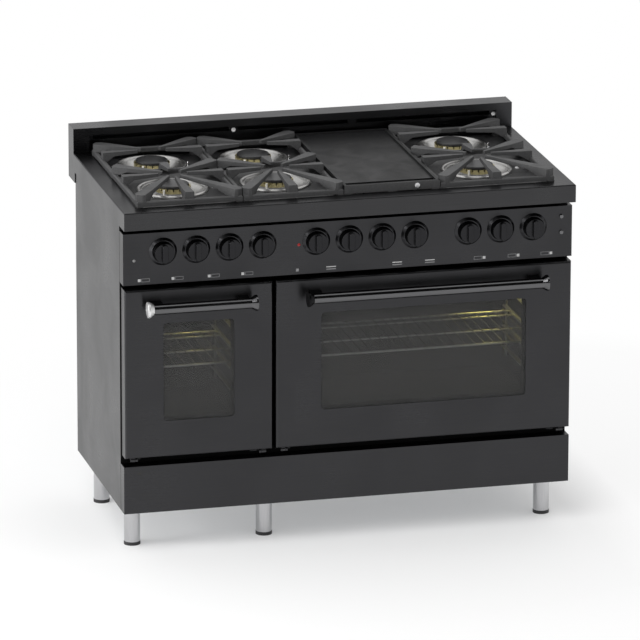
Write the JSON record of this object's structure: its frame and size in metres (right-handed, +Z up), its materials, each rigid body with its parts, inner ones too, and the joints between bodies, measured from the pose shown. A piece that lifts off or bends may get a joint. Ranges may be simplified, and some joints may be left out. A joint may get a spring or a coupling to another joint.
{
  "type": "gas range",
  "caption": "Freestanding gas range with burners and a griddle on top, a row of knobs, and a small and a large oven with drop-down doors on tube legs.",
  "frame": {"origin": "on the floor, under the middle of the range's bounding box", "axes": "+Z up, the front with the doors and knobs faces -Y, +X to the right seen from the front"},
  "size_m": [1.218, 0.725, 1.012],
  "materials": {
    "black_steel": "satin black stainless steel",
    "side_steel": "satin black coated steel",
    "galvanised": "galvanised sheet",
    "leg_steel": "brushed stainless tube",
    "foot_black": "moulded black plastic",
    "knob_black": "satin black cast metal",
    "bezel_black": "gloss black ring",
    "bowl_steel": "polished steel dish",
    "burner_aluminium": "cast aluminium",
    "burner_brass": "machined brass",
    "cap_enamel": "matte black enamel",
    "igniter_ceramic": "white ceramic",
    "grate_iron": "matte black cast iron",
    "griddle_iron": "seasoned cast iron",
    "oven_enamel": "dark speckled enamel",
    "rack_chrome": "chromed wire",
    "door_glass": "smoked tempered glass",
    "lamp_glass": "warm lamp glass",
    "indicator": "coloured lamp lens",
    "button_black": "black push button",
    "gasket_grey": "braided high-temperature seal",
    "handle_black": "gloss black bar",
    "post_black": "satin black casting",
    "hinge_steel": "black oxide steel",
    "gas_brass": "forged brass valve",
    "pipe_steel": "zinc-plated pipe",
    "feed_aluminium": "drawn aluminium tube"
  },
  "bodies": {
    "chassis": {"side_panel_left": "side_steel", "side_panel_right": "side_steel", "back_panel": "galvanised", "base_pan": "galvanised", "front_frame": "oven_enamel", "heat_shield": "galvanised", "cooktop": "black_steel", "backguard": "black_steel", "control_panel": "black_steel", "kick_panel": "black_steel", "legs": "leg_steel", "feet": "foot_black", "knob_bezels": "bezel_black", "indicator_lamps": "indicator", "gas_manifold": "pipe_steel", "gas_valves": "gas_brass", "burner_feeds": "feed_aluminium", "burner_bowls": "bowl_steel", "burner_bases": "burner_aluminium", "burner_heads": "burner_brass", "burner_caps": "cap_enamel", "igniters": "igniter_ceramic", "griddle_burner": "burner_aluminium", "left_oven_cavity": "oven_enamel", "right_oven_cavity": "oven_enamel", "rack_guides": "rack_chrome", "oven_racks": "rack_chrome", "oven_burners": "burner_aluminium", "oven_lamps": "lamp_glass", "door_gaskets": "gasket_grey", "hinge_brackets": "hinge_steel"},
    "knob_1_turn": {"knob_1": "knob_black"},
    "knob_2_turn": {"knob_2": "knob_black"},
    "knob_3_turn": {"knob_3": "knob_black"},
    "knob_4_turn": {"knob_4": "knob_black"},
    "knob_5_turn": {"knob_5": "knob_black"},
    "knob_6_turn": {"knob_6": "knob_black"},
    "knob_7_turn": {"knob_7": "knob_black"},
    "knob_8_turn": {"knob_8": "knob_black"},
    "knob_9_turn": {"knob_9": "knob_black"},
    "knob_10_turn": {"knob_10": "knob_black"},
    "knob_11_turn": {"knob_11": "knob_black"},
    "left_door": {"left_door_panel": "black_steel", "left_door_glass": "door_glass", "left_door_liner": "oven_enamel", "left_door_hinges": "hinge_steel", "left_handle_bar": "handle_black", "left_handle_posts": "post_black"},
    "right_door": {"right_door_panel": "black_steel", "right_door_glass": "door_glass", "right_door_liner": "oven_enamel", "right_door_hinges": "hinge_steel", "right_handle_bar": "handle_black", "right_handle_posts": "post_black"},
    "left_grate": {"grate_left": "grate_iron"},
    "middle_grate": {"grate_middle": "grate_iron"},
    "right_grate": {"grate_right": "grate_iron"},
    "griddle_plate": {"griddle": "griddle_iron"},
    "upper_button": {"push_button_upper": "button_black"},
    "lower_button": {"push_button_lower": "button_black"}
  },
  "joints": [
    {"name": "knob_1_spin", "type": "hinge", "parent": "chassis", "child": "knob_1_turn", "pos_m": [-0.5005, -0.2935, 0.829], "axis": [0, -1, 0], "range_deg": [0, 210]},
    {"name": "knob_2_spin", "type": "hinge", "parent": "chassis", "child": "knob_2_turn", "pos_m": [-0.4115, -0.2935, 0.829], "axis": [0, -1, 0], "range_deg": [0, 210]},
    {"name": "knob_3_spin", "type": "hinge", "parent": "chassis", "child": "knob_3_turn", "pos_m": [-0.3225, -0.2935, 0.829], "axis": [0, -1, 0], "range_deg": [0, 210]},
    {"name": "knob_4_spin", "type": "hinge", "parent": "chassis", "child": "knob_4_turn", "pos_m": [-0.2335, -0.2935, 0.829], "axis": [0, -1, 0], "range_deg": [0, 210]},
    {"name": "knob_5_spin", "type": "hinge", "parent": "chassis", "child": "knob_5_turn", "pos_m": [-0.089, -0.2935, 0.829], "axis": [0, -1, 0], "range_deg": [0, 285]},
    {"name": "knob_6_spin", "type": "hinge", "parent": "chassis", "child": "knob_6_turn", "pos_m": [0, -0.2935, 0.829], "axis": [0, -1, 0], "range_deg": [0, 210]},
    {"name": "knob_7_spin", "type": "hinge", "parent": "chassis", "child": "knob_7_turn", "pos_m": [0.089, -0.2935, 0.829], "axis": [0, -1, 0], "range_deg": [0, 180]},
    {"name": "knob_8_spin", "type": "hinge", "parent": "chassis", "child": "knob_8_turn", "pos_m": [0.178, -0.2935, 0.829], "axis": [0, -1, 0], "range_deg": [0, 285]},
    {"name": "knob_9_spin", "type": "hinge", "parent": "chassis", "child": "knob_9_turn", "pos_m": [0.3225, -0.2935, 0.829], "axis": [0, -1, 0], "range_deg": [0, 210]},
    {"name": "knob_10_spin", "type": "hinge", "parent": "chassis", "child": "knob_10_turn", "pos_m": [0.4115, -0.2935, 0.829], "axis": [0, -1, 0], "range_deg": [0, 210]},
    {"name": "knob_11_spin", "type": "hinge", "parent": "chassis", "child": "knob_11_turn", "pos_m": [0.5005, -0.2935, 0.829], "axis": [0, -1, 0], "range_deg": [0, 180]},
    {"name": "left_door_hinge", "type": "hinge", "parent": "chassis", "child": "left_door", "pos_m": [-0.4065, -0.2875, 0.264], "axis": [1, 0, 0], "range_deg": [0, 90]},
    {"name": "right_door_hinge", "type": "hinge", "parent": "chassis", "child": "right_door", "pos_m": [0.2025, -0.2875, 0.264], "axis": [1, 0, 0], "range_deg": [0, 90]},
    {"name": "left_grate_lift", "type": "slide", "parent": "chassis", "child": "left_grate", "axis": [0, 0, 1], "range_m": [0, 0.12]},
    {"name": "middle_grate_lift", "type": "slide", "parent": "chassis", "child": "middle_grate", "axis": [0, 0, 1], "range_m": [0, 0.12]},
    {"name": "right_grate_lift", "type": "slide", "parent": "chassis", "child": "right_grate", "axis": [0, 0, 1], "range_m": [0, 0.12]},
    {"name": "griddle_plate_lift", "type": "slide", "parent": "chassis", "child": "griddle_plate", "axis": [0, 0, 1], "range_m": [0, 0.12]},
    {"name": "upper_button_press", "type": "slide", "parent": "chassis", "child": "upper_button", "axis": [0, 1, 0], "range_m": [0, 0.003], "stiffness_N_per_m": 300, "springref_m": -0.002},
    {"name": "lower_button_press", "type": "slide", "parent": "chassis", "child": "lower_button", "axis": [0, 1, 0], "range_m": [0, 0.003], "stiffness_N_per_m": 300, "springref_m": -0.002}
  ]
}
